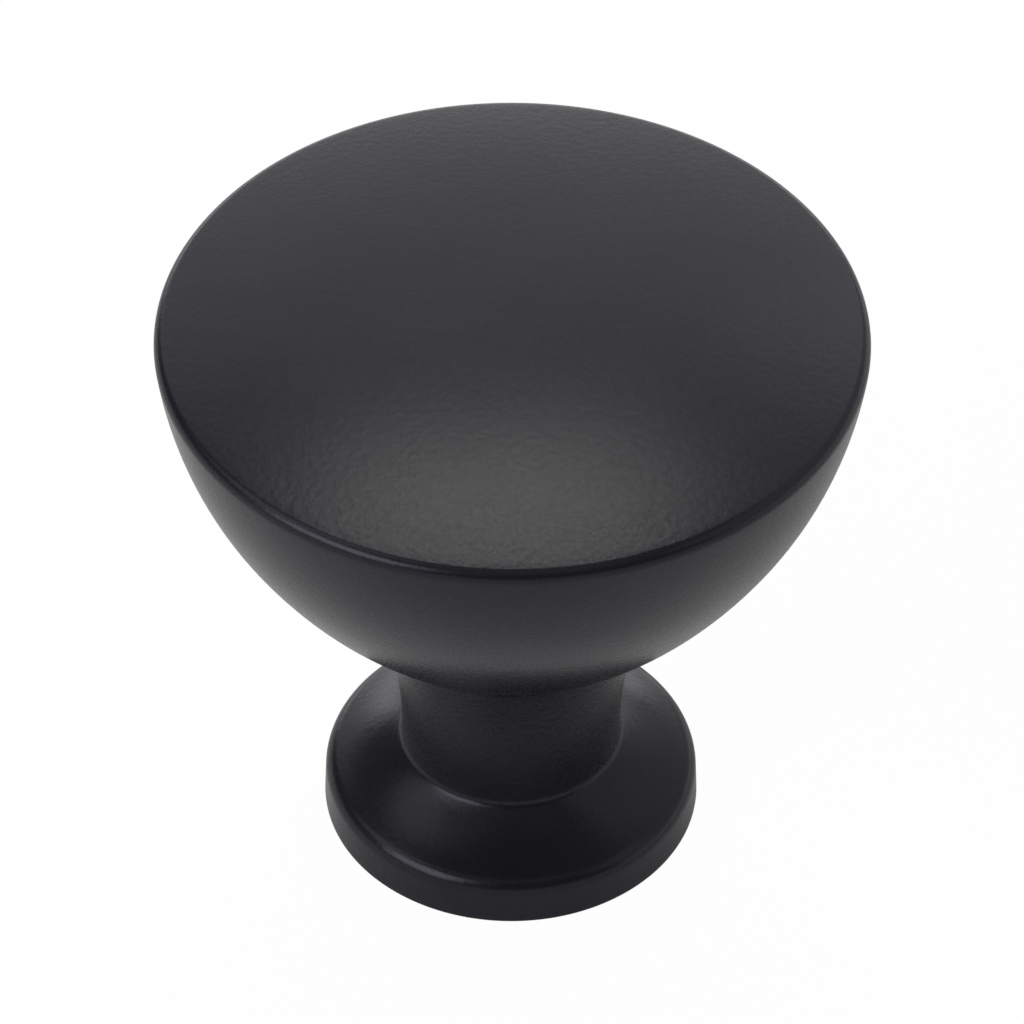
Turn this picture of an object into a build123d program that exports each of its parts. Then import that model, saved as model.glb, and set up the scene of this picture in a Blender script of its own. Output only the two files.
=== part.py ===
from build123d import *
from math import atan2, cos, degrees, radians, sin, sqrt, tan
import os

# A one-piece cast cabinet knob: a flanged foot, a waisted neck and a bowl-shaped head with a low crown.
# It is one turned form about the Z axis, so a single half section holds every size.
# Lengths are in millimetres and angles in degrees. The origin is the centre of the seat,
# the face that bears on the door, and +Z points away from the door.

# Head
head_diameter = 32.0        # across its widest place
knob_height = 30.87         # from the seat to the top of the crown
crown_rise = 1.45           # how far the crown stands above the rim
rim_radius = 0.55           # rounding between the crown and the bowl
rim_lean = 6.4              # how far the bowl's side leans outwards where it reaches the rim
upper_bowl_radius = 20.3    # arc of the bowl's side below the rim
change_lean = 29.0          # how far the side leans where the flatter lower arc takes over
lower_bowl_radius = 27.5    # arc from there down to the neck

# Neck
neck_diameter = 10.36       # where it stands on the foot
neck_top_diameter = 13.24   # where it runs into the bowl
neck_hollow = 0.43          # how far its side dips inwards of a straight line between those two
flare_radius = 2.2          # hollow rounding between the neck and the bowl

# Foot
base_diameter = 17.78       # at the door
base_draft = 0.09           # how far the edge of the foot leans in over its height
base_edge_height = 2.25     # height of that edge
base_edge_radius = 0.85
foot_height = 4.09          # height at which the neck stands on the slope of the foot
slope_hollow = 0.2          # how far the slope dips below a straight cone
foot_fillet = 0.5           # hollow rounding between the slope and the neck
seat_edge_radius = 0.12

# Underside
seat_width = 2.4            # flat ring that bears on the door
recess_depth = 0.5          # relief inside that ring
thread_size = 4.0           # M4 tapped hole for the screw that comes through the door
thread_pitch = 0.7
hole_depth = 13.0           # from the seat to the end of the straight bore
drill_point = 118.0         # full angle of the cone that the drill leaves
mouth_clearance = 0.15      # how far the countersink opens beyond the thread

# Sizes that follow
neck_top_radius = neck_top_diameter / 2
base_radius = base_diameter / 2
tap_radius = (thread_size - thread_pitch) / 2
mouth_radius = thread_size / 2 + mouth_clearance
rim_centre = (head_diameter / 2 - rim_radius, knob_height - crown_rise - rim_radius)
crown_radius = rim_radius + (rim_centre[0] ** 2 + crown_rise ** 2) / (2 * crown_rise)
crown_centre = (0.0, knob_height - crown_radius)


def inwards(point, distance, lean):
    """The point a distance away, straight in from a stretch of the side that leans out by an angle."""
    return (point[0] - distance * cos(radians(lean)), point[1] + distance * sin(radians(lean)))


upper_bowl_centre = inwards(rim_centre, upper_bowl_radius - rim_radius, rim_lean)
lower_bowl_centre = inwards(upper_bowl_centre, lower_bowl_radius - upper_bowl_radius, change_lean)


def bowl_level(radius):
    """Height of the lower arc of the bowl at a distance from the axis."""
    return lower_bowl_centre[1] - sqrt(lower_bowl_radius ** 2 - (radius - lower_bowl_centre[0]) ** 2)


def arc_from_to(centre, radius, start, end):
    """Arc about a centre between two directions, in degrees up from the radial line."""
    return CenterArc(centre, radius, start, end - start)


def direction(start, end):
    """Direction from one point of the section to another, in degrees up from the radial line."""
    return degrees(atan2(end[1] - start[1], end[0] - start[0]))


def underside():
    """Line from the end of the tapped hole, down its wall and out over the seat."""
    recess_radius = base_radius - seat_width
    mouth_top = recess_depth + mouth_radius - tap_radius
    return Polyline(
        (0, hole_depth + tap_radius / tan(radians(drill_point / 2))),
        (tap_radius, hole_depth),
        (tap_radius, mouth_top),
        (mouth_radius, recess_depth),
        (recess_radius, recess_depth),
        (recess_radius, 0),
        (base_radius, 0),
        (base_radius - base_draft, base_edge_height),
    )


def head_arcs(neck_top):
    """Lower bowl, upper bowl, rim and crown: four arcs, each tangent to the next."""
    rim_top = direction(crown_centre, rim_centre)
    return [
        arc_from_to(lower_bowl_centre, lower_bowl_radius, direction(lower_bowl_centre, neck_top), -change_lean),
        arc_from_to(upper_bowl_centre, upper_bowl_radius, -change_lean, -rim_lean),
        arc_from_to(rim_centre, rim_radius, -rim_lean, rim_top),
        arc_from_to(crown_centre, crown_radius, rim_top, 90),
    ]


def half_section():
    """The knob cut down its axis: one side of the cut, with its corners rounded."""
    base_edge = (base_radius - base_draft, base_edge_height)
    neck_foot = (neck_diameter / 2, foot_height)
    neck_top = (neck_top_radius, bowl_level(neck_top_radius))
    with BuildSketch(Plane.XZ) as section:
        with BuildLine():
            under = underside()
            SagittaArc(base_edge, neck_foot, slope_hollow)
            SagittaArc(neck_foot, neck_top, neck_hollow)
            head_arcs(neck_top)
            Line((0, knob_height), under @ 0)
        make_face()
        for corner, radius in (
            ((base_radius, 0), seat_edge_radius),
            (base_edge, base_edge_radius),
            (neck_foot, foot_fillet),
            (neck_top, flare_radius),
        ):
            fillet(section.vertices().sort_by_distance(corner)[0], radius)
    return section.sketch


def knob():
    """The whole knob, turned from its half section."""
    return revolve(half_section(), Axis.Z)


os.makedirs("parts", exist_ok=True)
export_step(knob(), "parts/knob.step")
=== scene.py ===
from math import atan2, cos, floor, hypot, pi, radians, sin, sqrt, tan

import bpy
from mathutils import Matrix, Vector


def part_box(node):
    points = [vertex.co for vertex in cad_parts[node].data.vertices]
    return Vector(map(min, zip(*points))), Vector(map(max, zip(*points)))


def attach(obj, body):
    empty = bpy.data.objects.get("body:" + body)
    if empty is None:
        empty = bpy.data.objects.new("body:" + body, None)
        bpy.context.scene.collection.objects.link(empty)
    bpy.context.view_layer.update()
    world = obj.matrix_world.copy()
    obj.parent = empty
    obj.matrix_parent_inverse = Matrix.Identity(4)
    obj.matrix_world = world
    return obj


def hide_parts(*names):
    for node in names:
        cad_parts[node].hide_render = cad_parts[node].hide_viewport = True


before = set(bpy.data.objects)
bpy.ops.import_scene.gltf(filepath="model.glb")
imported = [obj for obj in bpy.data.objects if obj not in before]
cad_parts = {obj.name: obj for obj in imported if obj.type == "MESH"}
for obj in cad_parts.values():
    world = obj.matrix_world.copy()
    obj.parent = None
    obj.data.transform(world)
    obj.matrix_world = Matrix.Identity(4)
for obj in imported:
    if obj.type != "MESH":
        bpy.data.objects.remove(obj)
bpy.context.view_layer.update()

# Sizes of the knob, in metres. The overall ones come from the frame.
MM = 0.001
low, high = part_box("knob")
HEAD_RADIUS = (high[0] - low[0]) / 2
KNOB_HEIGHT = high[2]
CROWN_RISE = 1.45 * MM
RIM_RADIUS = 0.55 * MM
RIM_LEAN = radians(6.4)
UPPER_BOWL_RADIUS = 20.3 * MM
CHANGE_LEAN = radians(29.0)
LOWER_BOWL_RADIUS = 27.5 * MM
NECK_FOOT_RADIUS = 5.18 * MM
NECK_TOP_RADIUS = 6.62 * MM
NECK_HOLLOW = 0.43 * MM
FLARE_RADIUS = 2.2 * MM
BASE_RADIUS = 8.89 * MM
BASE_DRAFT = 0.09 * MM
BASE_EDGE_HEIGHT = 2.25 * MM
BASE_EDGE_RADIUS = 0.85 * MM
FOOT_HEIGHT = 4.09 * MM
SLOPE_HOLLOW = 0.2 * MM
FOOT_FILLET = 0.5 * MM
SEAT_EDGE_RADIUS = 0.12 * MM
SEAT_WIDTH = 2.4 * MM
RECESS_DEPTH = 0.5 * MM
THREAD_RADIUS = 2.0 * MM
THREAD_PITCH = 0.7 * MM
TAP_RADIUS = 1.65 * MM
MOUTH_RADIUS = 2.15 * MM
HOLE_DEPTH = 13.0 * MM
DRILL_POINT = radians(118)

# How finely the mesh is cut
TURN_STEPS = 192
THREAD_ROWS_PER_PITCH = 10

# Finish, floor and lights
ROUGHNESS = 0.27
FLOOR_GLOW_SEEN = 0.98          # share of plain white in the floor that the camera sees
FLOOR_GLOW_MIRRORED = 0.2       # the same for the floor that the knob mirrors
HORIZON_GLOW = (radians(2), radians(10))    # heights between which the mirrored horizon fades
LIGHT_DISTANCE = 0.8

# The photograph's camera, as fitted to the outline, in metres and radians
CAMERA_PLACE = (0.0, -0.20008, 0.20700)
CAMERA_PITCH = 0.7569
CAMERA_ROLL = 0.0034
FOCAL_PIXELS = 6001
PICTURE_PIXELS = 1024
SHIFT_PIXELS = (-0.22, 0.5)
SENSOR_MM = 36.0


# The outline of the section, as (radius, height) points

def polar(centre, radius, angle):
    """Point on a circle."""
    return (centre[0] + radius * cos(angle), centre[1] + radius * sin(angle))


def toward(start, end):
    """Direction from one point to another, as an angle."""
    return atan2(end[1] - start[1], end[0] - start[0])


def arc(centre, radius, start, end, count):
    """Points along a circle between two points on it, the short way round."""
    first = toward(centre, start)
    turn = (toward(centre, end) - first + pi) % (2 * pi) - pi
    return [polar(centre, radius, first + turn * i / count) for i in range(count + 1)]


def straight(start, end, count):
    """Points along a straight line."""
    return [
        (start[0] + (end[0] - start[0]) * i / count, start[1] + (end[1] - start[1]) * i / count)
        for i in range(count + 1)
    ]


def hollow_circle(start, end, hollow):
    """Circle through two points of the outline that dips inwards between them."""
    chord = hypot(end[0] - start[0], end[1] - start[1])
    radius = (chord ** 2 / 4 + hollow ** 2) / (2 * hollow)
    across = ((end[1] - start[1]) / chord, (start[0] - end[0]) / chord)
    return (
        (start[0] + end[0]) / 2 + across[0] * (radius - hollow),
        (start[1] + end[1]) / 2 + across[1] * (radius - hollow),
    ), radius


def crossing(first, second, near):
    """Where two circles cross, nearest to a point. Each circle is a centre and a radius."""
    (a, ra), (b, rb) = first, second
    gap = hypot(b[0] - a[0], b[1] - a[1])
    along = (ra ** 2 - rb ** 2 + gap ** 2) / (2 * gap)
    side = sqrt(ra ** 2 - along ** 2)
    ux, uy = (b[0] - a[0]) / gap, (b[1] - a[1]) / gap
    found = [
        (a[0] + ux * along - uy * side * s, a[1] + uy * along + ux * side * s)
        for s in (1, -1)
    ]
    return min(found, key=lambda p: hypot(p[0] - near[0], p[1] - near[1]))


def touching(circle, centre):
    """Point where a rounding about a centre touches a circle of the outline."""
    return polar(circle[0], circle[1], toward(circle[0], centre))


def outside_line():
    """The outline from the seat's outer edge up to the middle of the crown."""
    rim_centre = (HEAD_RADIUS - RIM_RADIUS, KNOB_HEIGHT - CROWN_RISE - RIM_RADIUS)
    crown_radius = RIM_RADIUS + (rim_centre[0] ** 2 + CROWN_RISE ** 2) / (2 * CROWN_RISE)
    crown_centre = (0.0, KNOB_HEIGHT - crown_radius)
    upper_centre = polar(rim_centre, RIM_RADIUS - UPPER_BOWL_RADIUS, -RIM_LEAN)
    lower_centre = polar(upper_centre, UPPER_BOWL_RADIUS - LOWER_BOWL_RADIUS, -CHANGE_LEAN)
    bowl = (lower_centre, LOWER_BOWL_RADIUS)

    edge = (BASE_RADIUS - BASE_DRAFT, BASE_EDGE_HEIGHT)
    foot = (NECK_FOOT_RADIUS, FOOT_HEIGHT)
    top_level = lower_centre[1] - sqrt(LOWER_BOWL_RADIUS ** 2 - (NECK_TOP_RADIUS - lower_centre[0]) ** 2)
    top = (NECK_TOP_RADIUS, top_level)
    slope = hollow_circle(edge, foot, SLOPE_HOLLOW)
    neck = hollow_circle(foot, top, NECK_HOLLOW)

    # Roundings: each centre is one radius away from the two stretches that it joins.
    # The level of the foot's edge is found by stepping closer, as its wall leans.
    draft = atan2(BASE_DRAFT, BASE_EDGE_HEIGHT)
    edge_level = BASE_EDGE_HEIGHT - BASE_EDGE_RADIUS
    for _ in range(8):
        wall_at = BASE_RADIUS - edge_level * tan(draft)
        edge_centre = (wall_at - BASE_EDGE_RADIUS / cos(draft), edge_level)
        off = hypot(edge_centre[0] - slope[0][0], edge_centre[1] - slope[0][1])
        edge_level += off - slope[1] - BASE_EDGE_RADIUS
    foot_centre = crossing((slope[0], slope[1] - FOOT_FILLET), (neck[0], neck[1] - FOOT_FILLET), foot)
    flare_centre = crossing((neck[0], neck[1] - FLARE_RADIUS), (bowl[0], bowl[1] + FLARE_RADIUS), top)
    seat_centre = (BASE_RADIUS - SEAT_EDGE_RADIUS, SEAT_EDGE_RADIUS)

    seat_end = polar(seat_centre, SEAT_EDGE_RADIUS, draft)
    wall_end = polar(edge_centre, BASE_EDGE_RADIUS, draft)
    slope_start = touching(slope, edge_centre)
    slope_end, neck_start = touching(slope, foot_centre), touching(neck, foot_centre)
    neck_end, bowl_start = touching(neck, flare_centre), touching(bowl, flare_centre)
    bowl_change = polar(lower_centre, LOWER_BOWL_RADIUS, -CHANGE_LEAN)
    bowl_end = polar(rim_centre, RIM_RADIUS, -RIM_LEAN)
    rim_end = polar(rim_centre, RIM_RADIUS, toward(crown_centre, rim_centre))

    stretches = [
        arc(seat_centre, SEAT_EDGE_RADIUS, (seat_centre[0], 0), seat_end, 6),
        straight(seat_end, wall_end, 6),
        arc(edge_centre, BASE_EDGE_RADIUS, wall_end, slope_start, 14),
        arc(slope[0], slope[1], slope_start, slope_end, 10),
        arc(foot_centre, FOOT_FILLET, slope_end, neck_start, 10),
        arc(neck[0], neck[1], neck_start, neck_end, 20),
        arc(flare_centre, FLARE_RADIUS, neck_end, bowl_start, 8),
        arc(lower_centre, LOWER_BOWL_RADIUS, bowl_start, bowl_change, 28),
        arc(upper_centre, UPPER_BOWL_RADIUS, bowl_change, bowl_end, 24),
        arc(rim_centre, RIM_RADIUS, bowl_end, rim_end, 18),
        arc(crown_centre, crown_radius, rim_end, (0, KNOB_HEIGHT), 36),
    ]
    line = stretches[0]
    for stretch in stretches[1:]:
        line += stretch[1:]
    return line


def underside_line():
    """The outline from the countersink's inner end out over the relief to the seat's outer edge."""
    recess_radius = BASE_RADIUS - SEAT_WIDTH
    mouth_top = RECESS_DEPTH + MOUTH_RADIUS - TAP_RADIUS
    return (
        straight((TAP_RADIUS, mouth_top), (MOUTH_RADIUS, RECESS_DEPTH), 4)
        + straight((MOUTH_RADIUS, RECESS_DEPTH), (recess_radius, RECESS_DEPTH), 8)[1:]
        + straight((recess_radius, RECESS_DEPTH), (recess_radius, 0), 2)[1:]
        + straight((recess_radius, 0), (BASE_RADIUS - SEAT_EDGE_RADIUS, 0), 6)[1:]
    )


def thread_cut(turns):
    """How deep the thread is cut, from 0 at its crest to 1 at its root, by the turns along it."""
    # Flanks of 60 degrees between them, and a flat of an eighth of the pitch at the root
    flank = (THREAD_RADIUS - TAP_RADIUS) * tan(radians(30)) / THREAD_PITCH
    root_flat = 0.125
    place = abs((turns - floor(turns)) - 0.5)
    return min(1.0, max(0.0, (root_flat / 2 + flank - place) / flank))


def bore_rings():
    """Rings of the tapped hole, from the drill point's end down to the countersink."""
    mouth_top = RECESS_DEPTH + MOUTH_RADIUS - TAP_RADIUS
    tip = HOLE_DEPTH + TAP_RADIUS / tan(DRILL_POINT / 2)
    tip_ring = TAP_RADIUS / 50
    rows = int((HOLE_DEPTH - mouth_top) / THREAD_PITCH * THREAD_ROWS_PER_PITCH)
    run_out = 2 * THREAD_PITCH
    rings = []
    for radius, height in straight((tip_ring, tip), (TAP_RADIUS, HOLE_DEPTH), 4):
        rings.append([(radius, height)] * TURN_STEPS)
    for i in range(1, rows):
        height = HOLE_DEPTH + (mouth_top - HOLE_DEPTH) * i / rows
        depth = min(1.0, (HOLE_DEPTH - height) / run_out)
        cut = [
            thread_cut(height / THREAD_PITCH - step / TURN_STEPS) * depth
            for step in range(TURN_STEPS)
        ]
        rings.append([(TAP_RADIUS + (THREAD_RADIUS - TAP_RADIUS) * c, height) for c in cut])
    return rings


def knob_mesh():
    """The whole knob as rings about the axis: the tapped hole, the underside and the outside."""
    rings = bore_rings()
    rings += [[point] * TURN_STEPS for point in underside_line()]
    rings += [[point] * TURN_STEPS for point in outside_line()[1:-1]]
    verts = []
    for ring in rings:
        for step, (radius, height) in enumerate(ring):
            angle = 2 * pi * step / TURN_STEPS
            verts.append((radius * cos(angle), radius * sin(angle), height))
    faces = []
    for i in range(len(rings) - 1):
        for step in range(TURN_STEPS):
            after = (step + 1) % TURN_STEPS
            a, b = i * TURN_STEPS, (i + 1) * TURN_STEPS
            faces.append((a + step, a + after, b + after, b + step))
    for height, ring in ((rings[0][0][1], 0), (KNOB_HEIGHT, len(rings) - 1)):
        pole = len(verts)
        verts.append((0.0, 0.0, height))
        for step in range(TURN_STEPS):
            after = (step + 1) % TURN_STEPS
            start = ring * TURN_STEPS
            order = (start + after, start + step) if ring == 0 else (start + step, start + after)
            faces.append((pole, *order))
    mesh = bpy.data.meshes.new("knob_body")
    mesh.from_pydata(verts, [], faces)
    mesh.shade_smooth()
    mesh.set_sharp_from_angle(angle=radians(35))
    mesh.validate()
    return mesh


# Materials

def new_material(name):
    """An empty node material: its nodes, its links and a Principled shader."""
    material = bpy.data.materials.new(name)
    material.use_nodes = True
    tree = material.node_tree
    return material, tree.nodes, tree.links, tree.nodes["Principled BSDF"]


def calculated(nodes, links, operation, first, second):
    """Result of a Math node. Its first input is a socket, and its second a socket or a number."""
    node = nodes.new("ShaderNodeMath")
    node.operation = operation
    links.new(first, node.inputs[0])
    if isinstance(second, float):
        node.inputs[1].default_value = second
    else:
        links.new(second, node.inputs[1])
    return node.outputs["Value"]


def powder_coat():
    """Matte black powder coat: fine grain over a slight orange peel, a little uneven in colour."""
    material, nodes, links, shader = new_material("black_powder_coat")
    where = nodes.new("ShaderNodeTexCoord")

    def speckle(scale, detail):
        """Noise with so many spots to a metre."""
        texture = nodes.new("ShaderNodeTexNoise")
        texture.inputs["Scale"].default_value = scale
        texture.inputs["Detail"].default_value = detail
        links.new(where.outputs["Object"], texture.inputs["Vector"])
        return texture.outputs["Fac"]

    def spread(source, lowest, highest):
        """Noise, nearly all of which lies between 0.3 and 0.7, spread over a range."""
        ranged = nodes.new("ShaderNodeMapRange")
        ranged.inputs["From Min"].default_value = 0.3
        ranged.inputs["From Max"].default_value = 0.7
        ranged.inputs["To Min"].default_value = lowest
        ranged.inputs["To Max"].default_value = highest
        links.new(source, ranged.inputs["Value"])
        return ranged.outputs["Result"]

    def bumped(height, distance, under=None):
        """Normal of a bumpy surface, over another one if there is one."""
        bump = nodes.new("ShaderNodeBump")
        bump.inputs["Distance"].default_value = distance
        links.new(height, bump.inputs["Height"])
        if under:
            links.new(under, bump.inputs["Normal"])
        return bump.outputs["Normal"]

    peel = speckle(2800.0, 2.0)
    grain = speckle(6500.0, 2.0)
    mottle = speckle(250.0, 3.0)
    tint = nodes.new("ShaderNodeMix")
    tint.data_type = "RGBA"
    tint.inputs["A"].default_value = (0.0135, 0.0125, 0.018, 1)
    tint.inputs["B"].default_value = (0.0175, 0.0165, 0.022, 1)
    links.new(spread(mottle, 0.0, 1.0), tint.inputs["Factor"])
    links.new(tint.outputs["Result"], shader.inputs["Base Color"])
    links.new(spread(grain, ROUGHNESS - 0.03, ROUGHNESS + 0.03), shader.inputs["Roughness"])
    peel_normal = bumped(peel, 0.0095 * MM)
    links.new(bumped(grain, 0.002 * MM, peel_normal), shader.inputs["Normal"])
    shader.inputs["Specular IOR Level"].default_value = 0.28
    shader.inputs["Specular Tint"].default_value = (0.90, 0.87, 1.0, 1)
    return material


def white_ground():
    """Floor that shows the photograph's white, and keeps part of the knob's soft shadow."""
    material, nodes, links, shader = new_material("white_ground")
    shader.inputs["Base Color"].default_value = (0.9, 0.9, 0.9, 1)
    shader.inputs["Roughness"].default_value = 0.9
    glow = nodes.new("ShaderNodeEmission")
    glow.inputs["Strength"].default_value = 1.0
    rays = nodes.new("ShaderNodeLightPath").outputs
    seen = calculated(nodes, links, "MAXIMUM", rays["Is Camera Ray"], rays["Is Transmission Ray"])
    seen_share = calculated(nodes, links, "MULTIPLY", seen, FLOOR_GLOW_SEEN)
    mirrored_share = calculated(nodes, links, "MULTIPLY", rays["Is Glossy Ray"], FLOOR_GLOW_MIRRORED)
    share = calculated(nodes, links, "ADD", seen_share, mirrored_share)
    mixed = nodes.new("ShaderNodeMixShader")
    links.new(share, mixed.inputs["Fac"])
    links.new(shader.outputs["BSDF"], mixed.inputs[1])
    links.new(glow.outputs["Emission"], mixed.inputs[2])
    links.new(mixed.outputs["Shader"], nodes["Material Output"].inputs["Surface"])
    return material


# The scene

def add_object(name, data):
    """A new object in the scene."""
    thing = bpy.data.objects.new(name, data)
    bpy.context.scene.collection.objects.link(thing)
    return thing


def add_knob():
    """The knob's visible body, in place of the CAD solid."""
    body = add_object("knob_body", knob_mesh())
    body.data.materials.append(powder_coat())
    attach(body, "root")
    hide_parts("knob")


def add_floor():
    """A wide floor under the knob's seat."""
    half = 3.0
    mesh = bpy.data.meshes.new("floor")
    corners = [(-half, -half, 0), (half, -half, 0), (half, half, 0), (-half, half, 0)]
    mesh.from_pydata(corners, [], [(0, 1, 2, 3)])
    ground = add_object("floor", mesh)
    ground.data.materials.append(white_ground())


def add_softbox(name, azimuth, elevation, width, height, radiance, colour=(1, 1, 1)):
    """Area light that faces the knob. Azimuth 0 is behind the knob, and 90 is to its left."""
    lamp = bpy.data.lights.new(name, "AREA")
    lamp.shape = "RECTANGLE"
    lamp.size, lamp.size_y = width, height
    lamp.energy = radiance * width * height * pi
    lamp.color = colour
    light = add_object(name, lamp)
    turn, lift = radians(azimuth), radians(elevation)
    aim = Vector((0, 0, KNOB_HEIGHT / 2))
    place = aim + LIGHT_DISTANCE * Vector((-sin(turn) * cos(lift), cos(turn) * cos(lift), sin(lift)))
    facing = (aim - place).to_track_quat("-Z", "Y").to_matrix().to_4x4()
    light.matrix_world = Matrix.Translation(place) @ facing


def add_lights():
    """Soft studio light: a strong box overhead and at the front left, with large dim ones around."""
    # Angles in degrees, sizes in metres, then how bright the box looks, where the floor's white is 1
    add_softbox("overhead", 2, 62, 0.3, 0.18, 5.65, (1, 1.03, 0.9))
    add_softbox("left", 84, 56, 0.3, 0.6, 1.25)
    add_softbox("right", 287, 30, 1.55, 0.95, 0.6)
    add_softbox("backdrop", 5, 25, 0.9, 0.7, 1.01)
    add_softbox("backdrop_low", 5, 9, 0.9, 0.22, 1.05)
    add_softbox("front_left", 127, 34, 0.56, 0.44, 3.85)
    add_softbox("front_top", 190, 72, 0.6, 0.6, 0.24)


def add_world():
    """Dark surroundings. The camera sees them white, and so do glossy surfaces near the horizon."""
    world = bpy.data.worlds.new("studio")
    world.use_nodes = True
    bpy.context.scene.world = world
    nodes, links = world.node_tree.nodes, world.node_tree.links
    background = nodes["Background"]
    where = nodes.new("ShaderNodeTexCoord")
    parts = nodes.new("ShaderNodeSeparateXYZ")
    links.new(where.outputs["Generated"], parts.inputs["Vector"])
    horizon = nodes.new("ShaderNodeMapRange")
    horizon.inputs["From Min"].default_value = sin(HORIZON_GLOW[0])
    horizon.inputs["From Max"].default_value = sin(HORIZON_GLOW[1])
    horizon.inputs["To Min"].default_value = 1.0
    horizon.inputs["To Max"].default_value = 0.0
    links.new(parts.outputs["Z"], horizon.inputs["Value"])
    rays = nodes.new("ShaderNodeLightPath").outputs
    mirrored = calculated(nodes, links, "MULTIPLY", horizon.outputs["Result"], rays["Is Glossy Ray"])
    seen = calculated(nodes, links, "MAXIMUM", rays["Is Camera Ray"], rays["Is Transmission Ray"])
    background.inputs["Color"].default_value = (1, 1, 1, 1)
    links.new(calculated(nodes, links, "MAXIMUM", mirrored, seen), background.inputs["Strength"])


def add_camera():
    """The photograph's viewpoint."""
    lens = bpy.data.cameras.new("camera")
    lens.sensor_fit = "HORIZONTAL"
    lens.sensor_width = SENSOR_MM
    lens.lens = SENSOR_MM * FOCAL_PIXELS / PICTURE_PIXELS
    lens.shift_x = -SHIFT_PIXELS[0] / PICTURE_PIXELS
    lens.shift_y = SHIFT_PIXELS[1] / PICTURE_PIXELS
    lens.clip_start, lens.clip_end = 0.01, 20.0
    camera = add_object("camera", lens)
    tip = Matrix.Rotation(pi / 2 - CAMERA_PITCH, 4, "X")
    roll = Matrix.Rotation(CAMERA_ROLL, 4, "Z")
    camera.matrix_world = Matrix.Translation(CAMERA_PLACE) @ tip @ roll
    bpy.context.scene.camera = camera


add_knob()
add_floor()
add_lights()
add_world()
add_camera()
bpy.context.scene.view_settings.view_transform = "Standard"
